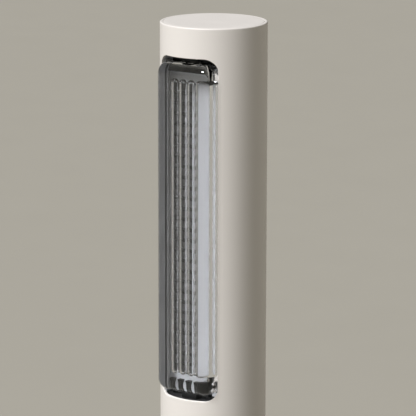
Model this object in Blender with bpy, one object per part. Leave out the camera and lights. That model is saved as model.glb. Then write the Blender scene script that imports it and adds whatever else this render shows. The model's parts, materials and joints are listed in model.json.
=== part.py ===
"""Slim tower air purifier: a round tube with a fluted glass block let into a tall slot in its front.

Air enters through a perforated panel low on the back, passes the filter cassette behind it, is lifted by a
radial fan, rises in the duct behind the glass, and leaves through the gap around the glass.

Frame: metres, +Z up, the front with the glass faces -Y, and the origin is the centre of the foot pad's
underside. Moving pieces: the impeller turns about Z, the filter cassette pulls out along +Y, and the power
button on the back presses in along -Y.
"""

import math

import bmesh
import bpy
from mathutils import Matrix, Vector

MM = 0.001

# ---- driving dimensions -------------------------------------------------------------------------------
TOWER_HEIGHT = 660 * MM
TUBE_R = 60 * MM
WALL = 3.5 * MM
FIT = 0.3 * MM  # gap between neighbouring pieces that touch on the real object

SLOT_WIDTH = 76.5 * MM
SLOT_TOP_MARGIN = 34.2 * MM  # from the top of the tower down to the slot
SLOT_LENGTH = 388.4 * MM
SLOT_CORNER_R = 14 * MM

GLASS_SIDE_GAP = 0.75 * MM
GLASS_END_GAP = 6.5 * MM  # the air outlet above and below the glass
GLASS_FACE_Y = -62.6 * MM
GLASS_THICKNESS = 24.5 * MM
GLASS_FILLET = 12.9 * MM
FLUTE_COUNT = 4
FLUTE_PITCH = 11 * MM
FLUTE_OFFSET = -1.2 * MM  # from the middle of the glass to the middle of the flutes
FLUTE_R = 4.6 * MM
FLUTE_DEPTH = 6.3 * MM
FLUTE_END_MARGIN = 19 * MM  # from the glass's end to the flute's end

CASSETTE_Z = (34 * MM, 182 * MM)
CASSETTE_HALF = 46 * MM  # half the width of the perforated panel
CASSETTE_CORNER_R = 8 * MM
FRAME_HALF = 42 * MM  # half the width of the cassette's frame, behind the panel

FAN_DECK_Z = (186.5 * MM, 189.5 * MM)
IMPELLER_R = 42 * MM
BLADE_COUNT = 9

BUTTON_Z = 600 * MM
BUTTON_R = 6 * MM
INLET_Z = 24.5 * MM
INLET_R = 5.5 * MM

# ---- values that follow from them ---------------------------------------------------------------------
TUBE_INNER_R = TUBE_R - WALL
INSERT_R = TUBE_INNER_R - FIT  # radius of everything that fits inside the tube
SLOT_TOP = TOWER_HEIGHT - SLOT_TOP_MARGIN
SLOT_BOTTOM = SLOT_TOP - SLOT_LENGTH
GLASS_HALF = SLOT_WIDTH / 2 - GLASS_SIDE_GAP
GLASS_BOTTOM = SLOT_BOTTOM + GLASS_END_GAP
GLASS_TOP = SLOT_TOP - GLASS_END_GAP
GLASS_BACK_Y = GLASS_FACE_Y + GLASS_THICKNESS

FOOT_R = 47 * MM
PAD_TOP = 3.7 * MM
BASE_Z = (4 * MM, 9 * MM)
BALLAST_Z = (9.3 * MM, 18.3 * MM)
RAIL_X = (49.5 * MM, 54 * MM)
RAIL_HALF_Y = 7 * MM
RAIL_Z = (BASE_Z[1] + FIT, 636.7 * MM)
RAIL_SCREW_X = sum(RAIL_X) / 2
BULKHEAD_Z = (637 * MM, 640 * MM)
CAP_THICKNESS = 4 * MM

POCKET_HALF = 39 * MM  # inside of the pocket behind the slot
POCKET_WALL = 2 * MM
POCKET_BACK_Y = -24 * MM
POCKET_Z = (SLOT_BOTTOM - 3 * MM, SLOT_TOP + 5.5 * MM)
LOUVRE_X = (-29 * MM, 3 * MM)  # the opening in the pocket's back wall, beside the lead shaft
LOUVRE_Z = (GLASS_BOTTOM + 15 * MM, GLASS_TOP - 25 * MM)

DIVIDER_Y = (RAIL_HALF_Y + FIT, RAIL_HALF_Y + FIT + 2 * MM)
SHELF_Z = (239.5 * MM, 241.8 * MM)
LEAD_HOLE = (40 * MM, 250 * MM)  # x and z of the hole where the supply lead crosses the divider
MOTOR_HOLE = (-30 * MM, 250 * MM)
LEAD_SHAFT = (46 * MM, -26 * MM)  # x and y of the supply lead where it climbs past the fan

BAY_HALF = FRAME_HALF + 0.8 * MM
BAY_Z = (CASSETTE_Z[0] + 1.2 * MM, CASSETTE_Z[1] - 1.2 * MM)
BAY_WALL = 2 * MM
BAY_FRONT_Y = 3 * MM
FRAME_Y = (8 * MM, 37.2 * MM)
FRAME_Z = (CASSETTE_Z[0] + 2 * MM, CASSETTE_Z[1] - 2 * MM)
FRAME_WALL = 2 * MM
NOTCH_HALF = 17 * MM  # the finger notch at the top of the perforated panel
NOTCH_DEPTH = 15.5 * MM

IMPELLER_Z = (193 * MM, 208.5 * MM)
MOTOR_R = 16 * MM
MOTOR_Z = (211.5 * MM, 228.5 * MM)
SHAFT_R = 2 * MM
SHROUD_R = (46.5 * MM, 48.5 * MM)
SHROUD_Z = (FAN_DECK_Z[1] + FIT, 231.5 * MM)
MOUNT_Z = (228.8 * MM, 231.3 * MM)

BOARD_Y = (13.2 * MM, 14.8 * MM)
BOARD_Z = (262 * MM, 358 * MM)
CONTROL_Y = (44.6 * MM, 46.2 * MM)

FINE = 72  # sides of a large round piece
MEDIUM = 36
SMALL = 20
OVER = 10 * MM  # how far a cutter runs past the wall it cuts

FINISHES = {
    # name: (red, green, blue, roughness, metallic, transmission)
    "shell_paint": (0.77, 0.74, 0.69, 0.42, 0.0, 0.0),
    "clear_glass": (0.93, 0.95, 0.95, 0.03, 0.0, 1.0),
    "black_plastic": (0.018, 0.017, 0.016, 0.45, 0.0, 0.0),
    "grey_plastic": (0.20, 0.20, 0.20, 0.50, 0.0, 0.0),
    "white_plastic": (0.70, 0.70, 0.67, 0.50, 0.0, 0.0),
    "rubber": (0.03, 0.03, 0.03, 0.80, 0.0, 0.0),
    "steel": (0.56, 0.57, 0.58, 0.30, 1.0, 0.0),
    "aluminium": (0.72, 0.73, 0.74, 0.35, 1.0, 0.0),
    "filter_paper": (0.86, 0.86, 0.83, 0.90, 0.0, 0.0),
    "carbon": (0.02, 0.02, 0.02, 0.90, 0.0, 0.0),
    "circuit_board": (0.02, 0.14, 0.06, 0.45, 0.0, 0.0),
    "lead_jacket": (0.02, 0.02, 0.02, 0.60, 0.0, 0.0),
}


# ---- scene, materials and objects ---------------------------------------------------------------------
def clear_scene():
    for obj in list(bpy.data.objects):
        bpy.data.objects.remove(obj)


def material(finish):
    found = bpy.data.materials.get(finish)
    if found:
        return found
    red, green, blue, roughness, metallic, transmission = FINISHES[finish]
    made = bpy.data.materials.new(finish)
    made.use_nodes = True
    shader = made.node_tree.nodes["Principled BSDF"]
    shader.inputs["Base Color"].default_value = (red, green, blue, 1.0)
    shader.inputs["Roughness"].default_value = roughness
    shader.inputs["Metallic"].default_value = metallic
    shader.inputs["Transmission Weight"].default_value = transmission
    return made


def finish_object(name, bm, finish, smooth=True):
    """Turns a bmesh into a named object with its material."""
    bmesh.ops.recalc_face_normals(bm, faces=bm.faces)
    mesh = bpy.data.meshes.new(name)
    bm.to_mesh(mesh)
    bm.free()
    if smooth:
        mesh.shade_smooth()
        mesh.set_sharp_from_angle(angle=math.radians(35))
    obj = bpy.data.objects.new(name, mesh)
    bpy.context.scene.collection.objects.link(obj)
    if finish:
        mesh.materials.append(material(finish))
    return obj


def as_tool(obj):
    """Marks an object as a cutter or a guide, which isn't a piece."""
    obj.hide_render = True
    obj.display_type = "WIRE"
    return obj


def boolean(target, operation, *tools):
    """Adds one Boolean for each tool object."""
    for tool in tools:
        as_tool(tool)
        step = target.modifiers.new(f"{operation.lower()}_{tool.name}", "BOOLEAN")
        step.operation = operation
        step.object = tool
        step.solver = "EXACT"
    return target


def cut(target, *tools):
    return boolean(target, "DIFFERENCE", *tools)


def fuse(target, *tools):
    return boolean(target, "UNION", *tools)


def keep_inside(target, *tools):
    return boolean(target, "INTERSECT", *tools)


# ---- shapes -------------------------------------------------------------------------------------------
def box(name, x, y, z, finish=None, bevel=0.0):
    """A block between two corners, given as (low, high) pairs."""
    bm = bmesh.new()
    bmesh.ops.create_cube(bm, size=1.0)
    size = Vector((x[1] - x[0], y[1] - y[0], z[1] - z[0]))
    middle = Vector((sum(x) / 2, sum(y) / 2, sum(z) / 2))
    bmesh.ops.scale(bm, vec=size, verts=bm.verts)
    bmesh.ops.translate(bm, vec=middle, verts=bm.verts)
    if bevel:
        bmesh.ops.bevel(bm, geom=bm.edges[:], offset=bevel, segments=1, affect="EDGES", profile=0.5)
    return finish_object(name, bm, finish)


def turned(name, profile, finish=None, steps=MEDIUM, axis="Z", at=(0, 0, 0)):
    """A closed (radius, height) profile turned about an axis through at."""
    bm = bmesh.new()
    ring = [bm.verts.new((radius, 0, height)) for radius, height in profile]
    for a, b in zip(ring, ring[1:] + ring[:1]):
        if a.co.x > 0 or b.co.x > 0:
            bm.edges.new((a, b))
    bmesh.ops.spin(
        bm,
        geom=bm.verts[:] + bm.edges[:],
        cent=(0, 0, 0),
        axis=(0, 0, 1),
        angle=math.tau,
        steps=steps,
        use_merge=True,
    )
    bmesh.ops.remove_doubles(bm, verts=bm.verts, dist=1e-6)
    if axis == "Y":
        bmesh.ops.rotate(bm, cent=(0, 0, 0), matrix=Matrix.Rotation(-math.pi / 2, 3, "X"), verts=bm.verts)
    bmesh.ops.translate(bm, vec=at, verts=bm.verts)
    return finish_object(name, bm, finish)


def disc(name, radius, z, finish=None, steps=MEDIUM, axis="Z", at=(0, 0, 0), bevel=0.0):
    """A solid round piece from z[0] to z[1] along its axis."""
    low, high = z
    if not bevel:
        profile = [(0, low), (radius, low), (radius, high), (0, high)]
    else:
        profile = [
            (0, low),
            (radius - bevel, low),
            (radius, low + bevel),
            (radius, high - bevel),
            (radius - bevel, high),
            (0, high),
        ]
    return turned(name, profile, finish, steps, axis, at)


def washer(name, radii, z, finish=None, steps=MEDIUM, axis="Z", at=(0, 0, 0)):
    """A round piece with a round hole, from z[0] to z[1] along its axis."""
    (inner, outer), (low, high) = radii, z
    return turned(name, [(inner, low), (outer, low), (outer, high), (inner, high)], finish, steps, axis, at)


def extruded(name, outline, low, high, finish=None, axis="Z"):
    """A flat outline pushed from low to high along Z, or along Y, where the outline is (x, z)."""
    bm = bmesh.new()
    if axis == "Z":
        start, push = [(u, v, low) for u, v in outline], (0, 0, high - low)
    else:
        start, push = [(u, low, v) for u, v in outline], (0, high - low, 0)
    face = bm.faces.new([bm.verts.new(point) for point in start])
    grown = bmesh.ops.extrude_face_region(bm, geom=[face], use_keep_orig=True)
    moved = [item for item in grown["geom"] if isinstance(item, bmesh.types.BMVert)]
    bmesh.ops.translate(bm, vec=push, verts=moved)
    return finish_object(name, bm, finish)


def rounded_rectangle(half_width, low, high, radius, steps=5):
    """Outline points (u, v) of an upright rectangle with round corners, centred on u = 0."""
    corners = [
        (half_width - radius, high - radius, 0),
        (-half_width + radius, high - radius, 90),
        (-half_width + radius, low + radius, 180),
        (half_width - radius, low + radius, 270),
    ]
    points = []
    for u, v, first in corners:
        for step in range(steps + 1):
            angle = math.radians(first + 90 * step / steps)
            points.append((u + radius * math.cos(angle), v + radius * math.sin(angle)))
    return points


def slots(name, centres, width, length, low, high):
    """One tool made of many upright slots with round ends, pushed along Y. centres are (x, z)."""
    bm = bmesh.new()
    for x, z in centres:
        outline = rounded_rectangle(width / 2, -length / 2, length / 2, 0.4 * width, steps=1)
        face = bm.faces.new([bm.verts.new((x + u, low, z + v)) for u, v in outline])
        grown = bmesh.ops.extrude_face_region(bm, geom=[face], use_keep_orig=True)
        moved = [item for item in grown["geom"] if isinstance(item, bmesh.types.BMVert)]
        bmesh.ops.translate(bm, vec=(0, high - low, 0), verts=moved)
    return finish_object(name, bm, None)


def smooth_route(points, spacing):
    """Points every spacing along a Catmull-Rom curve through the given ones."""
    route = [Vector(p) for p in points]
    ends = [2 * route[0] - route[1], *route, 2 * route[-1] - route[-2]]
    fine = []
    for i in range(len(route) - 1):
        a, b, c, d = ends[i : i + 4]
        for step in range(20):
            t = step / 20
            fine.append(
                0.5
                * (2 * b + (c - a) * t + (2 * a - 5 * b + 4 * c - d) * t**2 + (3 * b - a - 3 * c + d) * t**3)
            )
    fine.append(route[-1])
    kept = [fine[0]]
    for point in fine[1:-1]:
        if (point - kept[-1]).length >= spacing:
            kept.append(point)
    if (fine[-1] - kept[-1]).length < spacing / 2:
        kept.pop()
    return [*kept, fine[-1]]


def lead(name, points, radius, spacing=9 * MM):
    """A wire along a smooth curve through the points."""
    curve = bpy.data.curves.new(name, "CURVE")
    curve.dimensions = "3D"
    curve.bevel_depth = radius
    curve.bevel_resolution = 2
    curve.use_fill_caps = True
    route = smooth_route(points, spacing)
    spline = curve.splines.new("POLY")
    spline.points.add(len(route) - 1)
    for point, place in zip(spline.points, route):
        point.co = (*place, 1.0)
    obj = bpy.data.objects.new(name, curve)
    bpy.context.scene.collection.objects.link(obj)
    curve.materials.append(material("lead_jacket"))
    return obj


# ---- housing ------------------------------------------------------------------------------------------
def outer_tube():
    """The tube that is the tower's outside, with its slot, rear opening and two round holes."""
    edge = 1.5 * MM
    low, high = BASE_Z[0], TOWER_HEIGHT
    inset = 0.36 * edge
    tube = turned(
        "outer_tube",
        [
            (TUBE_INNER_R, low),
            (TUBE_R - edge / 2, low),
            (TUBE_R, low + edge / 2),
            (TUBE_R, high - edge),
            (TUBE_R - inset, high - inset),
            (TUBE_R - edge, high),
            (TUBE_INNER_R, high),
        ],
        "shell_paint",
        FINE,
    )
    front = extruded(
        "cut_slot",
        rounded_rectangle(SLOT_WIDTH / 2, SLOT_BOTTOM, SLOT_TOP, SLOT_CORNER_R, steps=6),
        -TUBE_R - OVER,
        -TUBE_R / 3,
        axis="Y",
    )
    gap = 0.4 * MM
    rear = extruded(
        "cut_rear",
        rounded_rectangle(
            CASSETTE_HALF + gap, CASSETTE_Z[0] - gap, CASSETTE_Z[1] + gap, CASSETTE_CORNER_R + gap
        ),
        TUBE_R / 3,
        TUBE_R + OVER,
        axis="Y",
    )
    button = disc("cut_button", BUTTON_R + FIT, (TUBE_R / 2, TUBE_R + OVER), None, SMALL, "Y", (0, 0, BUTTON_Z))
    inlet = disc("cut_inlet", INLET_R + FIT, (TUBE_R / 2, TUBE_R + OVER), None, SMALL, "Y", (0, 0, INLET_Z))
    return cut(tube, front, rear, button, inlet)


def top_cap():
    """The flat lid, let into the tube's top, with a thin skirt that stands on the bulkhead."""
    edge = 0.4 * MM
    high = TOWER_HEIGHT
    low = high - CAP_THICKNESS
    skirt = 1.2 * MM
    return turned(
        "top_cap",
        [
            (0, low),
            (INSERT_R - skirt, low),
            (INSERT_R - skirt, BULKHEAD_Z[1] + FIT),
            (INSERT_R, BULKHEAD_Z[1] + FIT),
            (INSERT_R, high - edge),
            (INSERT_R - edge, high),
            (0, high),
        ],
        "shell_paint",
        FINE,
    )


def bottom():
    """Foot pad, base plate, ballast and the screws that hold the base plate to the side rails."""
    disc("foot_pad", FOOT_R, (0, PAD_TOP), "rubber", bevel=0.8 * MM)
    plate = disc("base_plate", INSERT_R, BASE_Z, "black_plastic", bevel=0.5 * MM)
    washer("ballast_disc", (8 * MM, 47 * MM), BALLAST_Z, "steel")
    head_r, head_h, shank_r, hole_r = 3.2 * MM, 2 * MM, 1.9 * MM, 2.3 * MM
    for side, sign in (("left", -1), ("right", 1)):
        at = (sign * RAIL_SCREW_X, 0, 0)
        sunk_r, sunk_top = head_r + 0.5 * MM, BASE_Z[0] + 2.6 * MM
        start, end = BASE_Z[0] - OVER, BASE_Z[1] + OVER
        stepped = [(0, start), (sunk_r, start), (sunk_r, sunk_top), (hole_r, sunk_top), (hole_r, end), (0, end)]
        cut(plate, turned(f"cut_screw_{side}", stepped, None, SMALL, at=at))
        start = BASE_Z[0] + 0.4 * MM
        screw(f"base_screw_{side}", start, 1, head_r, head_h, shank_r, 10 * MM, at)


def screw(name, start, way, head_r, head_h, shank_r, length, at):
    """A pan-head screw along Z. way is 1 if the shank points up, -1 if it points down."""
    heights = [start, start + way * head_h, start + way * (head_h + length)]
    profile = [
        (0, heights[0]),
        (head_r, heights[0]),
        (head_r, heights[1]),
        (shank_r, heights[1]),
        (shank_r, heights[2]),
        (0, heights[2]),
    ]
    return turned(name, profile, "steel", 14, at=at)


def rails():
    """The two upright rails that tie the base plate, the fan deck and the bulkhead together."""
    hole_r = 2.3 * MM
    for side, sign in (("left", -1), ("right", 1)):
        x = tuple(sorted(sign * edge for edge in RAIL_X))
        at = (sign * RAIL_SCREW_X, 0, 0)
        rail = box(f"side_rail_{side}", x, (-RAIL_HALF_Y, RAIL_HALF_Y), RAIL_Z, "aluminium")
        depth = 13 * MM
        cut(
            rail,
            disc(f"cut_rail_low_{side}", hole_r, (0, RAIL_Z[0] + depth), None, 16, at=at),
            disc(f"cut_rail_high_{side}", hole_r, (RAIL_Z[1] - depth, RAIL_Z[1] + OVER), None, 16, at=at),
        )


def bulkhead():
    """The disc under the lid, and the screws that hold it to the rails."""
    plate = disc("upper_bulkhead", INSERT_R, BULKHEAD_Z, "black_plastic")
    for side, sign in (("left", -1), ("right", 1)):
        at = (sign * RAIL_SCREW_X, 0, 0)
        span = (BULKHEAD_Z[0] - OVER, BULKHEAD_Z[1] + OVER)
        cut(plate, disc(f"cut_bulkhead_{side}", 2.3 * MM, span, None, 16, at=at))
        head_h = 2 * MM
        start = BULKHEAD_Z[1] + FIT + head_h
        screw(f"top_screw_{side}", start, -1, 2.8 * MM, head_h, 1.9 * MM, 11 * MM, at)


# ---- glass and the pocket behind it -------------------------------------------------------------------
def glass_block():
    """A thick clear block with large round front edges and upright flutes pressed into its back."""
    bm = bmesh.new()
    outline = rounded_rectangle(GLASS_HALF, GLASS_BOTTOM, GLASS_TOP, SLOT_CORNER_R - GLASS_SIDE_GAP)
    face = bm.faces.new([bm.verts.new((u, GLASS_FACE_Y, v)) for u, v in outline])
    rim = face.edges[:]
    grown = bmesh.ops.extrude_face_region(bm, geom=[face], use_keep_orig=True)
    moved = [item for item in grown["geom"] if isinstance(item, bmesh.types.BMVert)]
    bmesh.ops.translate(bm, vec=(0, GLASS_THICKNESS, 0), verts=moved)
    bmesh.ops.recalc_face_normals(bm, faces=bm.faces)
    bmesh.ops.bevel(bm, geom=rim, offset=GLASS_FILLET, segments=4, profile=0.5, affect="EDGES")
    glass = finish_object("glass_block", bm, "clear_glass")
    for index in range(FLUTE_COUNT):
        x = (index - (FLUTE_COUNT - 1) / 2) * FLUTE_PITCH + FLUTE_OFFSET
        cut(glass, flute(f"cut_flute_{index + 1}", x))
    return glass


def flute(name, x):
    """An upright round-bottomed channel that opens through the glass's back face."""
    axis = GLASS_BACK_Y - FLUTE_DEPTH + FLUTE_R
    outline = [(x + FLUTE_R, GLASS_BACK_Y + OVER), (x - FLUTE_R, GLASS_BACK_Y + OVER)]
    steps = 8
    for step in range(steps + 1):
        angle = math.pi * (1 + step / steps)
        outline.append((x + FLUTE_R * math.cos(angle), axis + FLUTE_R * math.sin(angle)))
    return extruded(name, outline, GLASS_BOTTOM + FLUTE_END_MARGIN, GLASS_TOP - FLUTE_END_MARGIN)


def glass_holders():
    """What the glass stands on, leans on and is bonded to, all behind its visible edge."""
    half, depth = 10 * MM, (GLASS_BACK_Y - 9 * MM, GLASS_BACK_Y)
    floor = (POCKET_Z[0] + FIT, POCKET_Z[0] + FIT + 1.1 * MM)
    wide = POCKET_HALF - FIT
    cradle = box("glass_cradle_lower", (-wide, wide), (-TUBE_R, POCKET_BACK_Y - FIT), floor, "rubber")
    keep_inside(cradle, disc("keep_cradle", INSERT_R - FIT, (floor[0] - OVER, floor[1] + OVER), None, FINE))
    fuse(cradle, box("join_cradle", (-half, half), depth, ((floor[0] + floor[1]) / 2, GLASS_BOTTOM - FIT)))
    box("glass_cradle_upper", (-half, half), depth, (GLASS_TOP + FIT, POCKET_Z[1] - FIT), "rubber")
    height = (GLASS_BOTTOM + 1 * MM, GLASS_TOP - 1 * MM)
    seal_y = (GLASS_BACK_Y + FIT, GLASS_BACK_Y + FIT + 1 * MM)
    ledge_y = (seal_y[1] + FIT, seal_y[1] + FIT + 4 * MM)
    seal_x, ledge_x = (30.8 * MM, 32.5 * MM), (29 * MM, POCKET_HALF - FIT)
    for side, sign, look in (("left", -1, "grey_plastic"), ("right", 1, "white_plastic")):
        box(f"glass_seal_{side}", sorted(sign * x for x in seal_x), seal_y, height, "rubber")
        box(f"glass_ledge_{side}", sorted(sign * x for x in ledge_x), ledge_y, height, look)
    bar_y, bar_half = (seal_y[0], ledge_y[1]), ledge_x[0] - FIT
    bar_z = (GLASS_TOP - 15 * MM, GLASS_TOP + 1.5 * MM)
    box("glass_bar_upper", (-bar_half, bar_half), bar_y, bar_z, "black_plastic")
    extruded("glass_comb_lower", comb_outline(floor[1] + FIT, bar_half), *bar_y, "black_plastic", axis="Y")


def comb_outline(low, half):
    """A strip with a wedge on a neck for each land of the glass. Air passes down between the necks."""
    strip, neck, wedge = low + 2 * MM, GLASS_BOTTOM + 4.5 * MM, GLASS_BOTTOM + 12 * MM
    neck_half, wedge_half = 0.8 * MM, 3.1 * MM
    outline = [(-half, strip), (-half, low), (half, low), (half, strip)]
    for index in range(FLUTE_COUNT, -1, -1):
        x = (index - FLUTE_COUNT / 2) * FLUTE_PITCH + FLUTE_OFFSET
        outline += [
            (x + neck_half, strip),
            (x + neck_half, neck),
            (x + wedge_half, wedge),
            (x - wedge_half, wedge),
            (x - neck_half, neck),
            (x - neck_half, strip),
        ]
    return outline


def outlet_frame():
    """The pale pocket behind the slot, with the window that the louvre fills in its back wall."""
    half = POCKET_HALF + POCKET_WALL
    back = POCKET_BACK_Y + POCKET_WALL
    z = (POCKET_Z[0] - POCKET_WALL, POCKET_Z[1] + POCKET_WALL)
    frame = box("outlet_frame", (-half, half), (-TUBE_R - OVER, back), z, "white_plastic")
    keep_inside(frame, disc("keep_pocket", INSERT_R, (z[0] - OVER, z[1] + OVER), None, FINE))
    hollow = box(
        "cut_pocket", (-POCKET_HALF, POCKET_HALF), (-TUBE_R - 2 * OVER, POCKET_BACK_Y), POCKET_Z
    )
    window = box("cut_window", LOUVRE_X, (POCKET_BACK_Y - OVER, back + OVER), LOUVRE_Z)
    cut(frame, hollow, window)


def outlet_louvre():
    """The black louvre in the pocket's window. Air enters the pocket between its slanted blades."""
    x = (LOUVRE_X[0] + FIT, LOUVRE_X[1] - FIT)
    y = (POCKET_BACK_Y, POCKET_BACK_Y + POCKET_WALL)
    z = (LOUVRE_Z[0] + FIT, LOUVRE_Z[1] - FIT)
    border = 1.6 * MM
    louvre = box("outlet_louvre", x, y, z, "black_plastic")
    inside = (x[0] + border, x[1] - border)
    cut(louvre, box("cut_louvre", inside, (y[0] - OVER, y[1] + OVER), (z[0] + border, z[1] - border)))
    blades, rise, thick = 27, 1.4 * MM, 1 * MM
    pitch = (z[1] - z[0]) / (blades + 1)
    middle = (y[0] + y[1]) / 2
    blade_inside = (inside[0] - border / 2, inside[1] + border / 2)
    for index in range(1, blades + 1):
        level = z[0] + index * pitch
        outline = [
            (y[0], level - rise - thick / 2),
            (y[0], level - rise + thick / 2),
            (middle, level + thick / 2),
            (y[1], level + rise + thick / 2),
            (y[1], level + rise - thick / 2),
            (middle, level - thick / 2),
        ]
        fuse(louvre, louvre_blade(f"join_louvre_{index}", blade_inside, outline))
    return louvre


def louvre_blade(name, x, outline):
    """A slanted blade: a (y, z) outline pushed along X."""
    bm = bmesh.new()
    face = bm.faces.new([bm.verts.new((x[0], y, z)) for y, z in outline])
    grown = bmesh.ops.extrude_face_region(bm, geom=[face], use_keep_orig=True)
    moved = [item for item in grown["geom"] if isinstance(item, bmesh.types.BMVert)]
    bmesh.ops.translate(bm, vec=(x[1] - x[0], 0, 0), verts=moved)
    return finish_object(name, bm, None)


# ---- fan ----------------------------------------------------------------------------------------------
def fan_deck():
    """The floor of the fan, with a rounded inlet lip, notches for the rails and a hole for the lead."""
    low, high = FAN_DECK_Z
    mouth = 30 * MM
    deck = turned(
        "fan_deck",
        [
            (mouth + 3 * MM, low),
            (INSERT_R, low),
            (INSERT_R, high),
            (mouth + 1 * MM, high),
            (mouth - 1 * MM, high + 2 * MM),
            (mouth, high - 1.2 * MM),
        ],
        "black_plastic",
        48,
    )
    for side, sign in (("left", -1), ("right", 1)):
        x = tuple(sorted((sign * (RAIL_X[0] - FIT), sign * (RAIL_X[1] + FIT))))
        y = (-RAIL_HALF_Y - FIT, RAIL_HALF_Y + FIT)
        cut(deck, box(f"cut_deck_rail_{side}", x, y, (low - OVER, high + OVER)))
    return cut(deck, disc("cut_deck_lead", 2.4 * MM, (low - OVER, high + OVER), None, 16, at=(*LEAD_SHAFT, 0)))


def blade(name, angle):
    """One backward-curved blade, a thin arc between the hub and the rim."""
    inner, outer, thickness, sweep = 20 * MM, IMPELLER_R - 1 * MM, 1.3 * MM, math.radians(38)
    steps = 4
    middle = []
    for step in range(steps + 1):
        share = step / steps
        radius = inner + (outer - inner) * share
        turn = angle + sweep * share**1.3
        middle.append(Vector((radius * math.cos(turn), radius * math.sin(turn))))
    left, right = [], []
    for index, point in enumerate(middle):
        along = middle[min(index + 1, steps)] - middle[max(index - 1, 0)]
        side = Vector((-along.y, along.x)).normalized() * thickness / 2
        left.append(point + side)
        right.append(point - side)
    outline = [tuple(p) for p in left + right[::-1]]
    return extruded(name, outline, IMPELLER_Z[0] + 0.7 * MM, IMPELLER_Z[1] - 0.8 * MM)


def impeller():
    """Back plate with its hub, nine blades and a front ring, moulded as one piece, plus shaft and nut."""
    low, high = IMPELLER_Z
    bore, hub = SHAFT_R + 0.2 * MM, 10 * MM
    wheel = turned(
        "impeller",
        [
            (bore, low + 3 * MM),
            (hub, low + 3 * MM),
            (hub + 2 * MM, high - 1.5 * MM),
            (IMPELLER_R, high - 1.5 * MM),
            (IMPELLER_R, high),
            (hub, high),
            (hub - 1 * MM, high + 1.5 * MM),
            (bore, high + 1.5 * MM),
        ],
        "grey_plastic",
    )
    front = washer("join_front_ring", (31.5 * MM, IMPELLER_R), (low, low + 1.5 * MM))
    blades = [
        blade(f"join_blade_{index + 1}", math.tau * index / BLADE_COUNT) for index in range(BLADE_COUNT)
    ]
    fuse(wheel, front, *blades)
    disc("motor_shaft", SHAFT_R, (low + 0.2 * MM, MOTOR_Z[1] + 0.2 * MM), "steel", SMALL)
    nut_z = (low + 0.1 * MM, low + 2.7 * MM)
    nut = disc("impeller_nut", 4 * MM, nut_z, "steel", 6)
    cut(nut, disc("cut_nut", SHAFT_R + 0.15 * MM, (low - OVER, low + OVER), None, SMALL))


def fan_fixed():
    """Shroud, motor, its two bearings, and the four-armed mount with three screws."""
    washer("fan_shroud", SHROUD_R, SHROUD_Z, "black_plastic")
    seat = 5.2 * MM
    low, high = MOTOR_Z
    edge = 1.5 * MM
    motor = turned(
        "motor_can",
        [
            (seat, low),
            (MOTOR_R - edge, low),
            (MOTOR_R, low + edge),
            (MOTOR_R, high),
            (seat, high),
        ],
        "steel",
        SMALL,
    )
    thickness = 3 * MM
    ring = (SHAFT_R + 0.06 * MM, 5 * MM)
    washer("bearing_lower", ring, (low + FIT, low + FIT + thickness), "steel", SMALL)
    washer("bearing_upper", ring, (high - FIT - thickness, high - FIT), "steel", SMALL)
    mount = washer("motor_mount", (4 * MM, 17 * MM), MOUNT_Z, "black_plastic")
    arm = 2.5 * MM
    reach = SHROUD_R[0] - FIT
    inner = 14 * MM
    z = (MOUNT_Z[0], MOUNT_Z[1])
    fuse(
        mount,
        box("join_arm_east", (inner, reach - 0.2 * MM), (-arm, arm), z),
        box("join_arm_west", (-reach + 0.2 * MM, -inner), (-arm, arm), z),
        box("join_arm_north", (-arm, arm), (inner, reach - 0.2 * MM), z),
        box("join_arm_south", (-arm, arm), (-reach + 0.2 * MM, -inner), z),
    )
    for index in range(3):
        angle = math.tau * (index / 3 + 1 / 12)
        at = (10.5 * MM * math.cos(angle), 10.5 * MM * math.sin(angle), 0)
        span = (high - 3.5 * MM, MOUNT_Z[1] + OVER)
        hole = disc(f"cut_motor_screw_{index + 1}", 1.3 * MM, span, None, 12, at=at)
        cut(mount, hole)
        cut(motor, hole)
        head_h = 0.9 * MM
        start = MOUNT_Z[1] + FIT / 2 + head_h
        screw(f"motor_screw_{index + 1}", start, -1, 2.2 * MM, head_h, 1.0 * MM, 5.2 * MM, at)


# ---- filter cassette and its bay ----------------------------------------------------------------------
def filter_bay():
    """The fixed sleeve that guides the cassette, with a lip at the front that its seal presses on."""
    half = BAY_HALF + BAY_WALL
    z = (BAY_Z[0] - BAY_WALL, BAY_Z[1] + BAY_WALL)
    bay = box("filter_bay", (-half, half), (BAY_FRONT_Y, TUBE_R + OVER), z, "black_plastic")
    keep_inside(bay, disc("keep_bay", INSERT_R, (z[0] - OVER, z[1] + OVER), None, FINE))
    back = BAY_FRONT_Y + BAY_WALL
    hollow = box("cut_bay", (-BAY_HALF, BAY_HALF), (back, TUBE_R + 2 * OVER), BAY_Z)
    lip = 6 * MM
    window = box(
        "cut_bay_window",
        (-BAY_HALF + lip, BAY_HALF - lip),
        (BAY_FRONT_Y - OVER, back + OVER),
        (BAY_Z[0] + lip, BAY_Z[1] - lip),
    )
    cut(bay, hollow, window)
    for side, sign in (("left", -1), ("right", 1)):
        at = (sign * 25 * MM, 20 * MM, 0)
        bottom_z = BAY_Z[1] + BAY_WALL + FIT
        disc(f"bay_magnet_{side}", 4 * MM, (bottom_z, bottom_z + 2 * MM), "steel", 20, at=at)


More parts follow.
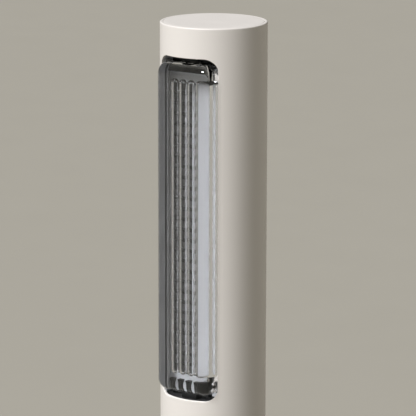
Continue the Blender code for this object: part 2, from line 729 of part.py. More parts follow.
def rear_grille():
    """The perforated panel that carries the cassette and lies flush in the tube's back."""
    low, high = CASSETTE_Z
    panel = washer("rear_grille", (TUBE_INNER_R, TUBE_R), (low - OVER, high + OVER), "shell_paint", FINE)
    outline = rounded_rectangle(CASSETTE_HALF, low, high, CASSETTE_CORNER_R)
    keep_inside(panel, extruded("keep_panel", outline, TUBE_R / 3, TUBE_R + OVER, axis="Y"))
    columns, rows = 11, 2
    pitch, length = 7 * MM, 50 * MM
    row_pitch = 57 * MM
    centres = [
        ((column - (columns - 1) / 2) * pitch, low + 36 * MM + row * row_pitch)
        for row in range(rows)
        for column in range(columns)
    ]
    holes = slots("cut_intake", centres, 3.2 * MM, length, TUBE_R / 3 - OVER, TUBE_R + 2 * OVER)
    notch = extruded(
        "cut_notch",
        rounded_rectangle(NOTCH_HALF, high - NOTCH_DEPTH, high + 4 * OVER, 7 * MM),
        TUBE_R / 3 - OVER,
        TUBE_R + 2 * OVER,
        axis="Y",
    )
    return cut(panel, holes, notch)


def cassette():
    """The frame behind the panel with its seal, keeper plates and three filter layers."""
    low, high = FRAME_Z
    front, back = FRAME_Y
    frame = box("cassette_frame", (-FRAME_HALF, FRAME_HALF), FRAME_Y, FRAME_Z, "white_plastic")
    inner = FRAME_HALF - FRAME_WALL
    hollow = box(
        "cut_frame",
        (-inner, inner),
        (front + FRAME_WALL, back + OVER),
        (low + FRAME_WALL, high - FRAME_WALL),
    )
    lip = 3 * MM
    window = box(
        "cut_frame_window",
        (-inner + lip, inner - lip),
        (front - OVER, front + 2 * FRAME_WALL),
        (low + FRAME_WALL + lip, high - FRAME_WALL - lip),
    )
    cut(frame, hollow, window)

    seal_y = (BAY_FRONT_Y + BAY_WALL + FIT, front - FIT)
    seal = box("cassette_seal", (-41 * MM, 41 * MM), seal_y, (low + 1 * MM, high - 1 * MM), "rubber")
    opening = (-38 * MM, 38 * MM)
    cut(
        seal,
        box("cut_seal", opening, (seal_y[0] - OVER, seal_y[1] + OVER), (low + 4 * MM, high - 4 * MM)),
    )

    layer = inner - 0.4 * MM
    media_z = (low + FRAME_WALL + 0.4 * MM, high - FRAME_WALL - 2.2 * MM)
    y = front + FRAME_WALL + 0.2 * MM
    box("carbon_filter", (-layer, layer), (y, y + 3 * MM), media_z, "carbon")
    y += 3 * MM + FIT
    pleated("hepa_filter", layer, (y, y + 20 * MM), media_z)
    y += 20 * MM + FIT
    box("prefilter_mesh", (-layer, layer), (y, y + 1 * MM), media_z, "black_plastic")

    for side, sign in (("left", -1), ("right", 1)):
        x = tuple(sorted((sign * 20 * MM, sign * 30 * MM)))
        z = (high - FRAME_WALL - 1.3 * MM, high - FRAME_WALL - 0.3 * MM)
        box(f"keeper_{side}", x, (15 * MM, 25 * MM), z, "steel")


def pleated(name, half, y, z):
    """A zigzag of filter paper with upright folds."""
    pleats, paper = 14, 1.2 * MM
    pitch = 2 * half / pleats
    front, back = [], []
    for index in range(2 * pleats + 1):
        x = -half + index * pitch / 2
        near = index % 2 == 0
        front.append((x, y[0] if near else y[1] - 2 * paper))
        back.append((x, y[0] + 2 * paper if near else y[1]))
    return extruded(name, front + back[::-1], z[0], z[1], "filter_paper")


# ---- electronics, button and inlet --------------------------------------------------------------------
def duct_divider():
    """The wall that closes the duct's back, its shelf, and bosses for the driver board."""
    half = 53 * MM
    top = RAIL_Z[1]
    plate = box("duct_divider", (-half, half), DIVIDER_Y, (SHELF_Z[0], top), "grey_plastic")
    shelf = disc("join_shelf", INSERT_R, SHELF_Z, None, FINE)
    keep_inside(
        shelf,
        box("keep_shelf", (-TUBE_R, TUBE_R), (DIVIDER_Y[0], TUBE_R), (SHELF_Z[0] - OVER, SHELF_Z[1] + OVER)),
    )
    fuse(plate, shelf)
    boss_y = (DIVIDER_Y[1] - 0.5 * MM, BOARD_Y[0] - FIT)
    for index, (x, z) in enumerate(((-20, 270), (20, 270), (-20, 350), (20, 350))):
        boss = disc(f"join_boss_{index + 1}", 2.5 * MM, boss_y, None, 12, "Y", (x * MM, 0, z * MM))
        fuse(plate, boss)
    for name, (x, z) in (("supply", LEAD_HOLE), ("motor", MOTOR_HOLE)):
        span = (DIVIDER_Y[0] - OVER, DIVIDER_Y[1] + OVER)
        cut(plate, disc(f"cut_{name}_lead", 2.6 * MM, span, None, 16, "Y", (x, 0, z)))


def driver_board():
    """The power and motor board, with its largest components soldered on."""
    board = box("driver_board", (-25 * MM, 25 * MM), BOARD_Y, BOARD_Z, "circuit_board")
    root, z0 = BOARD_Y[1] - 0.5 * MM, BOARD_Z[0]
    fuse(
        board,
        disc("join_cap_a", 5 * MM, (root, root + 15 * MM), None, 16, "Y", (-14 * MM, 0, z0 + 70 * MM)),
        disc("join_cap_b", 5 * MM, (root, root + 15 * MM), None, 16, "Y", (0, 0, z0 + 70 * MM)),
        box("join_coil", (8 * MM, 20 * MM), (root, root + 8 * MM), (z0 + 60 * MM, z0 + 74 * MM)),
        box("join_chip", (-8 * MM, 8 * MM), (root, root + 2 * MM), (z0 + 34 * MM, z0 + 50 * MM)),
        box("join_socket_a", (14 * MM, 24 * MM), (root, root + 6 * MM), (z0 + 3 * MM, z0 + 9 * MM)),
        box("join_socket_b", (-24 * MM, -14 * MM), (root, root + 6 * MM), (z0 + 3 * MM, z0 + 9 * MM)),
        box("join_socket_c", (4 * MM, 12 * MM), (root, root + 6 * MM), (z0 + 84 * MM, z0 + 90 * MM)),
    )


def button_and_control():
    """The round power button, the block that guides it, and the board with the switch behind it."""
    half = 14 * MM
    z = (BUTTON_Z - half, BUTTON_Z + half)
    holder_y = (CONTROL_Y[1] + FIT, TUBE_R + OVER)
    holder = box("button_holder", (-half, half), holder_y, z, "black_plastic")
    keep_inside(holder, disc("keep_holder", INSERT_R, (z[0] - OVER, z[1] + OVER), None, FINE))
    bore = disc("cut_holder", 8 * MM, (TUBE_R / 2, TUBE_R + 2 * OVER), None, SMALL, "Y", (0, 0, BUTTON_Z))
    cut(holder, bore)
    board_half = 12 * MM
    board_z = (BUTTON_Z - board_half, BUTTON_Z + board_half)
    box("control_board", (-board_half, board_half), CONTROL_Y, board_z, "circuit_board")
    switch = 3 * MM
    switch_y = (CONTROL_Y[1] + FIT, CONTROL_Y[1] + FIT + 3.4 * MM)
    box("tact_switch", (-switch, switch), switch_y, (BUTTON_Z - switch, BUTTON_Z + switch), "black_plastic")
    stem_end = switch_y[1] + 1.3 * MM
    flange = (53.3 * MM, 55.6 * MM)
    face = TUBE_R + 0.8 * MM
    edge = 0.6 * MM
    profile = [
        (0, stem_end),
        (2 * MM, stem_end),
        (2 * MM, flange[0]),
        (7.4 * MM, flange[0]),
        (7.4 * MM, flange[1]),
        (BUTTON_R, flange[1]),
        (BUTTON_R, face - edge),
        (BUTTON_R - edge, face),
        (0, face),
    ]
    turned("power_button", profile, "shell_paint", 24, "Y", (0, 0, BUTTON_Z))


def power_inlet():
    """A low-voltage barrel socket, set in the back just under the cassette."""
    face = TUBE_R - 0.5 * MM
    rear = 44 * MM
    hole, pin = 3.2 * MM, 1 * MM
    profile = [
        (0, rear),
        (INLET_R, rear),
        (INLET_R, 52.5 * MM),
        (8 * MM, 52.5 * MM),
        (8 * MM, 55.5 * MM),
        (INLET_R, 55.5 * MM),
        (INLET_R, face),
        (hole, face),
        (hole, face - 9 * MM),
        (pin, face - 9 * MM),
        (pin, face - 1 * MM),
        (0, face - 1 * MM),
    ]
    turned("dc_inlet", profile, "black_plastic", SMALL, "Y", (0, 0, INLET_Z))


def leads():
    """The three internal wires, clipped along their whole length. Their points are in millimetres."""
    shaft_x, shaft_y = (edge / MM for edge in LEAD_SHAFT)
    supply = [
        (0, 43.4, 24.5),
        (1, 38, 24.8),
        (8, 29, 25.6),
        (22, 15, 26.5),
        (34, 1, 26.5),
        (42, -14, 28),
        (45.6, -23, 36),
        (shaft_x, shaft_y, 52),
        (shaft_x, shaft_y, 110),
        (shaft_x, shaft_y, 180),
        (shaft_x, shaft_y, 222),
        (45.6, -22, 236),
        (43.6, -10, 245),
        (41, 0, 249.3),
        (40, 6, 250),
        (39.6, 12, 250.4),
        (35, 16.6, 252),
        (26, 18, 254.5),
        (20.4, 17.8, 258),
        (19, 17.6, 264.2),
    ]
    lead("power_lead", [Vector(p) * MM for p in supply], 1.2 * MM)
    motor = [
        (-7.5, 0, 233.2),
        (-9, 0.4, 237),
        (-14, 1, 243),
        (-22, 2, 248),
        (-28, 4, 249.8),
        (-30, 7, 250),
        (-29.6, 12, 250.4),
        (-27, 16, 252),
        (-22, 17.6, 256),
        (-19.4, 17.6, 259),
        (-19, 17.6, 264.2),
    ]
    lead("motor_lead", [Vector(p) * MM for p in motor], 1.0 * MM, 4 * MM)
    control = [
        (8, 17.6, 352.6),
        (8, 18.4, 360),
        (7, 22, 385),
        (4, 28, 430),
        (1, 34, 480),
        (0, 38.6, 530),
        (0, 41, 570),
        (0, 42.4, 590),
        (0, 42.8, 598),
    ]
    lead("control_lead", [Vector(p) * MM for p in control], 1.0 * MM)


def main():
    clear_scene()
    outer_tube()
    top_cap()
    bottom()
    rails()
    bulkhead()
    glass_block()
    glass_holders()
    outlet_frame()
    outlet_louvre()
    fan_deck()
    impeller()
    fan_fixed()
    filter_bay()
    rear_grille()
    cassette()
    duct_divider()
    driver_board()
    button_and_control()
    power_inlet()
    leads()


main()
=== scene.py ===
"""The looks of the slim tower air purifier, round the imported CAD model.

Metres, +Z up, the glass faces -Y.
"""

import json
import math

import bmesh
import bpy
from mathutils import Matrix, Vector


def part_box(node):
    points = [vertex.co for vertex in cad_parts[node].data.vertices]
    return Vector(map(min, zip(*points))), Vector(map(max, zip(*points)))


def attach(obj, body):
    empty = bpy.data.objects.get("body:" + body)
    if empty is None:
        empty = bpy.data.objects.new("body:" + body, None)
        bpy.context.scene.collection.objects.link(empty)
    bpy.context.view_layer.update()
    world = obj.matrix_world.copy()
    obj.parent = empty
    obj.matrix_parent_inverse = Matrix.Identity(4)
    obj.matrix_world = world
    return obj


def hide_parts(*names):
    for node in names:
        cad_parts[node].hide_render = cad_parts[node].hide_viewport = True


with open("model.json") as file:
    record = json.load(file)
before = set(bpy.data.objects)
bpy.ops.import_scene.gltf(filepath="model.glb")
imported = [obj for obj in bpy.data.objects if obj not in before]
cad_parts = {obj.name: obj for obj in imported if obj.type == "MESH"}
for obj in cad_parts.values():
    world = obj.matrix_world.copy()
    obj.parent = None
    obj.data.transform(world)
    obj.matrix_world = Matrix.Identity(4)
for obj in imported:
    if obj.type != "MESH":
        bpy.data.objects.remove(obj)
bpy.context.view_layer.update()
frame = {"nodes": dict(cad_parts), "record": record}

MM = 0.001

# ---- sizes, read from the CAD model where it has them --------------------------------
TUBE_LOW, TUBE_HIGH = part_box("outer_tube")
LID_LOW, LID_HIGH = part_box("top_cap")
GLASS_LOW, GLASS_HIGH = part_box("glass_block")
GRILLE_LOW, GRILLE_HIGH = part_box("rear_grille")
BUTTON_LOW, BUTTON_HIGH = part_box("power_button")
INLET_LOW, INLET_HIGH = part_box("dc_inlet")

TUBE_R = TUBE_HIGH.x
WALL = 3.5 * MM
TUBE_EDGE = 1.5 * MM
SLOT_GAP_SIDE = 0.75 * MM
SLOT_GAP_END = 6.5 * MM
SLOT_CORNER_R = 14 * MM
SLOT_HALF = GLASS_HIGH.x + SLOT_GAP_SIDE
SLOT_Z = (GLASS_LOW.z - SLOT_GAP_END, GLASS_HIGH.z + SLOT_GAP_END)
FLUTES = 4
FLUTE_PITCH = 11 * MM
FLUTE_OFFSET = -1.2 * MM
FLUTE_R = 4.6 * MM
FLUTE_DEPTH = 6.3 * MM
FLUTE_END = 19 * MM
GLASS_FILLET = 12.9 * MM

RIM_SOFT = 0.6 * MM  # the softened rim of a large opening or of the foot
HOLE_SOFT = 0.4 * MM  # the softened rim of a small round hole
TUBE_SPLITS = (31 * MM, 400 * MM)  # heights between the socket, the rear opening and the button
TUBE_STEP = 7 * MM  # height of a row of the tube's faces
INLET_HOLE_R = 5.8 * MM
BUTTON_HOLE_R = 6.3 * MM
REAR_GAP = 0.4 * MM
REAR_CORNER_R = 8.4 * MM

CUTTER_Y = (20 * MM, 80 * MM)
GRILLE_CORNER_R = 8 * MM
INTAKE_ROWS, INTAKE_COLUMNS = 2, 11
INTAKE_FIRST, INTAKE_ROW_PITCH = 36 * MM, 57 * MM  # from the panel's lower edge
INTAKE_PITCH = 7 * MM
INTAKE_HALF_WIDTH, INTAKE_HALF_LENGTH = 1.6 * MM, 25 * MM
NOTCH_HALF, NOTCH_DEPTH, NOTCH_CORNER_R = 17 * MM, 15.5 * MM, 7 * MM

BUTTON_R, BUTTON_STEM_R, BUTTON_FLANGE_R = 6 * MM, 2 * MM, 7.4 * MM
BUTTON_FLANGE_Y = (53.3 * MM, 55.6 * MM)
BUTTON_DISH = 0.35 * MM
INLET_R, INLET_BORE_R, INLET_FLANGE_R, INLET_PIN_R = 5.5 * MM, 3.2 * MM, 8 * MM, 1 * MM
INLET_FLANGE_Y = (52.5 * MM, 55.5 * MM)
INLET_DEPTH = 9 * MM

NOISE_MIDDLE = (0.3, 0.7)  # most of a noise's values lie between these


# ---- helpers -------------------------------------------------------------------------
def link(obj):
    bpy.context.scene.collection.objects.link(obj)
    return obj


def add_faces(bm, verts, faces):
    made = [bm.verts.new(v) for v in verts]
    for face in faces:
        bm.faces.new([made[i] for i in face])


def mesh_piece(name, verts, faces, merge=1e-6, sharp=40):
    """A smooth-shaded object, with doubled points merged and normals facing out."""
    bm = bmesh.new()
    add_faces(bm, verts, faces)
    bmesh.ops.remove_doubles(bm, verts=bm.verts, dist=merge)
    bmesh.ops.dissolve_degenerate(bm, edges=bm.edges, dist=1e-7)
    bmesh.ops.recalc_face_normals(bm, faces=bm.faces)
    mesh = bpy.data.meshes.new(name)
    bm.to_mesh(mesh)
    bm.free()
    mesh.shade_smooth()
    if sharp:
        mesh.set_sharp_from_angle(angle=math.radians(sharp))
    return link(bpy.data.objects.new(name, mesh))


def quads(rows, count, wrap=True):
    """Faces between successive rows of count points each."""
    faces = []
    last = count if wrap else count - 1
    for r in range(rows - 1):
        a, b = r * count, (r + 1) * count
        for i in range(last):
            j = (i + 1) % count
            faces.append((a + i, a + j, b + j, b + i))
    return faces


def revolve(name, profile, steps, axis="Z", at=(0, 0, 0)):
    """Turns (radius, height) points about an axis. A radius of 0 closes the end."""
    verts, faces, rows = [], [], []
    for radius, height in profile:
        if radius < 1e-7:
            rows.append([len(verts)])
            verts.append(Vector((0, 0, height)))
            continue
        ring = []
        for i in range(steps):
            a = math.tau * i / steps
            ring.append(len(verts))
            verts.append(Vector((radius * math.cos(a), radius * math.sin(a), height)))
        rows.append(ring)
    for low, high in zip(rows, rows[1:]):
        for i in range(steps):
            j = (i + 1) % steps
            if len(low) == 1:
                faces.append((low[0], high[j], high[i]))
            elif len(high) == 1:
                faces.append((low[i], low[j], high[0]))
            else:
                faces.append((low[i], low[j], high[j], high[i]))
    if axis == "Y":
        turn = Matrix.Rotation(-math.pi / 2, 3, "X")
        verts = [turn @ v for v in verts]
    verts = [v + Vector(at) for v in verts]
    return mesh_piece(name, verts, faces)


def arc(centre, radius, start, end, steps):
    """Points (u, v) along an arc, with angles in degrees."""
    points = []
    for i in range(steps + 1):
        a = math.radians(start + (end - start) * i / steps)
        points.append((centre[0] + radius * math.cos(a), centre[1] + radius * math.sin(a)))
    return points


def dress(obj, body, slot_name, *nodes):
    """Paints a piece with its slot's material, and tells the frame its body and its CAD nodes."""
    obj.data.materials.clear()
    obj.data.materials.append(MATERIALS[slot_name])
    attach(obj, body)
    if nodes:
        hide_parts(*nodes)
    return obj


# ---- materials -----------------------------------------------------------------------
def ramp(nodes, links, factor, dark, light):
    """A colour that goes from dark to light over the middle of a noise."""
    node = nodes.new("ShaderNodeValToRGB")
    for element, place, colour in zip(node.color_ramp.elements, NOISE_MIDDLE, (dark, light)):
        element.position = place
        element.color = (*colour, 1)
    links.new(factor, node.inputs["Fac"])
    return node.outputs["Color"]


def noise(nodes, links, coords, scale, detail=3.0, stretch=None):
    if stretch:
        mapping = nodes.new("ShaderNodeMapping")
        mapping.inputs["Scale"].default_value = stretch
        links.new(coords, mapping.inputs["Vector"])
        coords = mapping.outputs["Vector"]
    node = nodes.new("ShaderNodeTexNoise")
    node.inputs["Scale"].default_value = scale
    node.inputs["Detail"].default_value = detail
    links.new(coords, node.inputs["Vector"])
    return node.outputs["Fac"]


def spread(nodes, links, value, low, high):
    """Stretches the middle of a noise to the values from low to high."""
    node = nodes.new("ShaderNodeMapRange")
    node.inputs["From Min"].default_value, node.inputs["From Max"].default_value = NOISE_MIDDLE
    node.inputs["To Min"].default_value = low
    node.inputs["To Max"].default_value = high
    links.new(value, node.inputs["Value"])
    return node.outputs["Result"]


def bump(nodes, links, height, distance, shader):
    """Ripples the shader's surface by a height map, with its distance in millimetres."""
    node = nodes.new("ShaderNodeBump")
    node.inputs["Strength"].default_value = 1.0
    node.inputs["Distance"].default_value = distance * MM
    links.new(height, node.inputs["Height"])
    links.new(node.outputs["Normal"], shader.inputs["Normal"])


def for_ray(nodes, links, ray, usual, special, output):
    """Sends one shader to the output, and another for one kind of ray only."""
    mixed = nodes.new("ShaderNodeMixShader")
    links.new(nodes.new("ShaderNodeLightPath").outputs[ray], mixed.inputs["Fac"])
    links.new(usual, mixed.inputs[1])
    links.new(special, mixed.inputs[2])
    links.new(mixed.outputs["Shader"], nodes[output].inputs["Surface"])


def finish(name, colour, rough, vary=0.05, rough_vary=0.06, metallic=0.0, cloud=18.0,
           grain=900.0, grain_height=0.02, stretch=None, specular=0.5):
    """A surface whose colour drifts slowly, whose gloss varies, and which has a fine grain."""
    material = bpy.data.materials.new(name)
    material.use_nodes = True
    nodes, links = material.node_tree.nodes, material.node_tree.links
    shader = nodes["Principled BSDF"]
    coords = nodes.new("ShaderNodeTexCoord").outputs["Object"]
    drift = noise(nodes, links, coords, cloud, 4.0, stretch)
    dark = tuple(c * (1 - vary) for c in colour)
    light = tuple(min(1.0, c * (1 + vary)) for c in colour)
    links.new(ramp(nodes, links, drift, dark, light), shader.inputs["Base Color"])
    gloss = noise(nodes, links, coords, cloud * 6, 3.0, stretch)
    varied = spread(nodes, links, gloss, rough - rough_vary, rough + rough_vary)
    links.new(varied, shader.inputs["Roughness"])
    bump(nodes, links, noise(nodes, links, coords, grain, 2.0, stretch), grain_height, shader)
    shader.inputs["Metallic"].default_value = metallic
    shader.inputs["Specular IOR Level"].default_value = specular
    return material


def glass_material():
    """Clear pressed glass with a very slow ripple, which lets the lights through with a tint."""
    material = bpy.data.materials.new("clear_glass")
    material.use_nodes = True
    nodes, links = material.node_tree.nodes, material.node_tree.links
    shader = nodes["Principled BSDF"]
    coords = nodes.new("ShaderNodeTexCoord").outputs["Object"]
    tint = noise(nodes, links, coords, 8.0, 2.0)
    tinted = ramp(nodes, links, tint, (0.935, 0.945, 0.97), (0.95, 0.96, 0.98))
    links.new(tinted, shader.inputs["Base Color"])
    smear = noise(nodes, links, coords, 60.0, 3.0)
    links.new(spread(nodes, links, smear, 0.0, 0.02), shader.inputs["Roughness"])
    bump(nodes, links, noise(nodes, links, coords, 45.0, 1.0, (1.0, 1.0, 0.35)), 0.006, shader)
    shader.inputs["IOR"].default_value = 1.5
    shader.inputs["Specular IOR Level"].default_value = 0.25
    shader.inputs["Transmission Weight"].default_value = 1.0
    clear = nodes.new("ShaderNodeBsdfTransparent")
    clear.inputs["Color"].default_value = (0.33, 0.333, 0.345, 1)
    for_ray(nodes, links, "Is Shadow Ray", shader.outputs["BSDF"], clear.outputs["BSDF"],
            "Material Output")
    return material


MATERIALS = {
    "shell_paint": finish("shell_paint", (0.80, 0.765, 0.725), 0.46, vary=0.012, rough_vary=0.03,
                          cloud=6, grain=1500, grain_height=0.006),
    "clear_glass": glass_material(),
    "black_plastic": finish("black_plastic", (0.012, 0.012, 0.011), 0.6, vary=0.12, grain=2500,
                            grain_height=0.02, specular=0.25),
    # painted shade: this grey stands in for the shadow on the left side of the glass pocket, on the
    # left glass ledge whose right twin is white
    "grey_plastic": finish("grey_plastic", (0.28, 0.28, 0.275), 0.5, vary=0.08, grain=2000),
    "white_plastic": finish("white_plastic", (0.78, 0.79, 0.80), 0.48, vary=0.03, grain=2200),
    "rubber": finish("rubber", (0.022, 0.022, 0.022), 0.78, vary=0.2, grain=1800,
                     grain_height=0.05),
    "steel": finish("steel", (0.55, 0.56, 0.57), 0.32, vary=0.06, metallic=1.0, grain=3000,
                    grain_height=0.006),
    "aluminium": finish("aluminium", (0.70, 0.71, 0.72), 0.36, vary=0.05, metallic=1.0,
                        grain=500, grain_height=0.01, stretch=(1, 1, 0.03)),
    "filter_paper": finish("filter_paper", (0.84, 0.84, 0.80), 0.9, vary=0.06, grain=3500,
                           grain_height=0.05),
    "carbon": finish("carbon", (0.018, 0.018, 0.019), 0.85, vary=0.5, cloud=700, grain=700,
                     grain_height=0.4),
    "mesh_fabric": finish("mesh_fabric", (0.035, 0.035, 0.036), 0.7, vary=0.4, cloud=900,
                          grain=1200, grain_height=0.2),
    "circuit_board": finish("circuit_board", (0.015, 0.13, 0.06), 0.4, vary=0.15, grain=1500),
    "lead_jacket": finish("lead_jacket", (0.02, 0.02, 0.02), 0.5, vary=0.2, grain=2500),
}


# ---- the outer tube ------------------------------------------------------------------
def outline_side(half, low, high, radius, side, count):
    """Points (x, z, outward x, outward z) along one side of a rounded rectangle.

    A side runs from corner middle to corner middle. The sides are bottom, right, top and left,
    anticlockwise seen from outside.
    """
    corners = [
        (half - radius, low + radius),
        (half - radius, high - radius),
        (-half + radius, high - radius),
        (-half + radius, low + radius),
    ]
    start, end = corners[(side - 1) % 4], corners[side]
    face = -90 + 90 * side
    straight = math.hypot(end[0] - start[0], end[1] - start[1])
    bend = radius * math.pi / 4
    total = straight + 2 * bend
    in_bend = max(8, round(count * bend / total)) if straight > 1e-6 else count // 2
    in_bend = min(in_bend, (count - 1) // 2) if straight > 1e-6 else in_bend
    points = []
    for i in range(count):
        if i < in_bend:
            angle = face - 45 + 45 * i / in_bend
            centre = start
        elif i > count - in_bend:
            angle = face + 45 * (i - (count - in_bend)) / in_bend
            centre = end
        else:
            share = (i - in_bend) / max(1, count - 2 * in_bend)
            centre = (start[0] + (end[0] - start[0]) * share,
                      start[1] + (end[1] - start[1]) * share)
            angle = face
        n = (math.cos(math.radians(angle)), math.sin(math.radians(angle)))
        points.append((centre[0] + radius * n[0], centre[1] + radius * n[1], n[0], n[1]))
    return points


def on_tube(x, z, radius, turn):
    """The point on a cylinder that lies straight behind (x, z), turned about Z."""
    psi = math.asin(max(-1.0, min(1.0, x / radius))) + turn
    return Vector((radius * math.sin(psi), -radius * math.cos(psi), z))


def at_angle(psi, z, radius, turn):
    return Vector((radius * math.sin(psi + turn), -radius * math.cos(psi + turn), z))


def pierced_half(turn, z_list, across, hole, wall_fillet, loops):
    """Half of the tube's wall round one hole, as closed strips from outside to inside."""
    half, low, high, radius = hole
    ups = len(z_list) - 1
    border = []
    for i in range(across):
        border.append((-math.pi / 2 + math.pi * i / across, z_list[0]))
    for i in range(ups):
        border.append((math.pi / 2, z_list[i]))
    for i in range(across):
        border.append((math.pi / 2 - math.pi * i / across, z_list[-1]))
    for i in range(ups):
        border.append((-math.pi / 2, z_list[-1 - i]))
    edge = []
    for side, count in enumerate((across, ups, across, ups)):
        edge += outline_side(half, low, high, radius, side, count)

    def strip(share, shift, radius):
        """Points part of the way from the hole's edge to the border, on one face of the wall."""
        row = []
        for (psi, z), (x, hz, nx, nz) in zip(border, edge):
            start = math.asin((x + nx * shift) / radius)
            height = hz + nz * shift + (z - hz - nz * shift) * share
            row.append(at_angle(start + (psi - start) * share, height, radius, turn))
        return row

    near = wall_fillet + 0.35 * MM
    rows = [strip(1 - k / (loops - 1), near, TUBE_R) for k in range(loops)]
    steps, lip_steps = 5, 3
    lip = 0.4 * MM
    profile = []
    for i in range(steps + 1):
        a = math.pi / 2 * i / steps
        profile.append((wall_fillet * (1 - math.sin(a)), wall_fillet * (1 - math.cos(a))))
    for i in range(lip_steps + 1):
        a = math.pi / 2 * i / lip_steps
        profile.append((lip * (1 - math.cos(a)), WALL - lip * (1 - math.sin(a))))
    for offset, depth in profile:
        rows.append([on_tube(x + nx * offset, z + nz * offset, TUBE_R - depth, turn)
                     for x, z, nx, nz in edge])
    rows += [strip(k / (loops - 1), lip, TUBE_R - WALL) for k in range(1, loops)]
    return [v for row in rows for v in row], quads(len(rows), len(border))


def tube():
    """The tube with its round top edge, slot, rear opening and two holes, with softened edges."""
    across = 72
    low, high = TUBE_LOW.z + RIM_SOFT, TUBE_HIGH.z - TUBE_EDGE
    splits = (low, *TUBE_SPLITS, high)
    z_lists = []
    for a, b in zip(splits, splits[1:]):
        n = max(4, round((b - a) / TUBE_STEP))
        z_lists.append([a + (b - a) * i / n for i in range(n + 1)])
    whole = z_lists[0] + z_lists[1][1:] + z_lists[2][1:]
    verts, faces = [], []

    def add(part):
        base = len(verts)
        verts.extend(part[0])
        faces.extend(tuple(i + base for i in face) for face in part[1])

    def add_hole(z_list, low_z, high_z, radius):
        """A round hole in the back, with its middle halfway between two heights."""
        z = (low_z + high_z) / 2
        hole = (radius, z - radius, z + radius, radius - 0.01 * MM)
        add(pierced_half(math.pi, z_list, across, hole, HOLE_SOFT, 40))

    slot = (SLOT_HALF, *SLOT_Z, SLOT_CORNER_R)
    rear = (GRILLE_HIGH.x + REAR_GAP, GRILLE_LOW.z - REAR_GAP, GRILLE_HIGH.z + REAR_GAP,
            REAR_CORNER_R)
    add(pierced_half(0.0, whole, across, slot, RIM_SOFT, 30))
    add_hole(z_lists[0], INLET_LOW.z, INLET_HIGH.z, INLET_HOLE_R)
    add(pierced_half(math.pi, z_lists[1], across, rear, RIM_SOFT, 30))
    add_hole(z_lists[2], BUTTON_LOW.z, BUTTON_HIGH.z, BUTTON_HOLE_R)

    inner = TUBE_R - WALL
    soft, small = TUBE_EDGE, 0.35 * MM
    top = [(TUBE_R - soft + u, high + v) for u, v in arc((0, 0), soft, 0, 90, 7)]
    top += [(inner + small + u, TUBE_HIGH.z - small + v) for u, v in arc((0, 0), small, 90, 180, 3)]
    top.append((inner, high))
    bottom = [(TUBE_R - RIM_SOFT + u, low + v) for u, v in arc((0, 0), RIM_SOFT, 0, -90, 4)]
    bottom.append((inner, TUBE_LOW.z))
    bottom.append((inner, low))
    count = 2 * across
    for profile in (top, bottom):
        rows = []
        for radius, z in profile:
            for i in range(count):
                rows.append(at_angle(-math.pi / 2 + math.tau * i / count, z, radius, 0.0))
        add((rows, quads(len(profile), count)))
    piece = mesh_piece("tower_shell", verts, faces, merge=2e-6, sharp=50)
    return dress(piece, "housing", "shell_paint", "outer_tube")


def lid():
    """The flat lid. Its edge is softened, and its skirt is as deep as the CAD's."""
    radius = LID_HIGH.x + 0.1 * MM
    soft = 0.3 * MM
    profile = [(0, LID_HIGH.z)]
    profile += [(radius * share, LID_HIGH.z) for share in (0.35, 0.7, 0.93)]
    profile += [(radius - soft + u, LID_HIGH.z - soft + v) for u, v in arc((0, 0), soft, 90, 0, 4)]
    inner = radius - 1.2 * MM
    plate = LID_HIGH.z - 4 * MM
    profile += [(radius, LID_LOW.z), (inner, LID_LOW.z), (inner, plate), (0, plate)]
    return dress(revolve("tower_lid", profile, 256), "housing", "shell_paint", "top_cap")


# ---- the glass -----------------------------------------------------------------------
def glass_sides():
    """The block's front face, round front edge, straight flank and small back edge."""
    half, low, high = GLASS_HIGH.x, GLASS_LOW.z, GLASS_HIGH.z
    face_y, back_y = GLASS_LOW.y, GLASS_HIGH.y
    across, ups = 72, 128
    edge = []
    for side, count in enumerate((across, ups, across, ups)):
        edge += outline_side(half, low, high, SLOT_CORNER_R - SLOT_GAP_SIDE, side, count)
    rows = []
    steps, back_steps = 22, 4
    for i in range(steps + 1):
        a = math.pi / 2 * i / steps
        rows.append((GLASS_FILLET * (1 - math.sin(a)), face_y + GLASS_FILLET * (1 - math.cos(a))))
    small = 0.6 * MM
    for i in range(back_steps + 1):
        a = math.pi / 2 * i / back_steps
        rows.append((small * (1 - math.cos(a)), back_y - small * (1 - math.sin(a))))
    verts = [Vector((x - nx * inset, y, z - nz * inset))
             for inset, y in rows for x, z, nx, nz in edge]
    faces = quads(len(rows), len(edge))
    faces.append(tuple(range(len(edge))))
    return verts, faces


def flute(x):
    """A round-bottomed channel with round ends, which opens through the back face."""
    back_y = GLASS_HIGH.y
    axis_y = back_y - FLUTE_DEPTH + FLUTE_R
    low, high = GLASS_LOW.z + FLUTE_END + FLUTE_R, GLASS_HIGH.z - FLUTE_END - FLUTE_R
    ends, span, around = 10, 24, 24
    stations = []
    for i in range(ends):
        b = math.pi / 2 * (1 - i / ends)
        stations.append((low - FLUTE_R * math.sin(b), FLUTE_R * math.cos(b)))
    stations += [(low + (high - low) * i / span, FLUTE_R) for i in range(span + 1)]
    for i in range(1, ends + 1):
        b = math.pi / 2 * i / ends
        stations.append((high + FLUTE_R * math.sin(b), FLUTE_R * math.cos(b)))
    verts = []
    for z, radius in stations:
        verts.append(Vector((x + radius, back_y, z)))
        for j in range(around + 1):
            phi = math.pi * j / around
            verts.append(Vector((x + radius * math.cos(phi), axis_y - radius * math.sin(phi), z)))
        verts.append(Vector((x - radius, back_y, z)))
    return verts, quads(len(stations), around + 3, wrap=False)


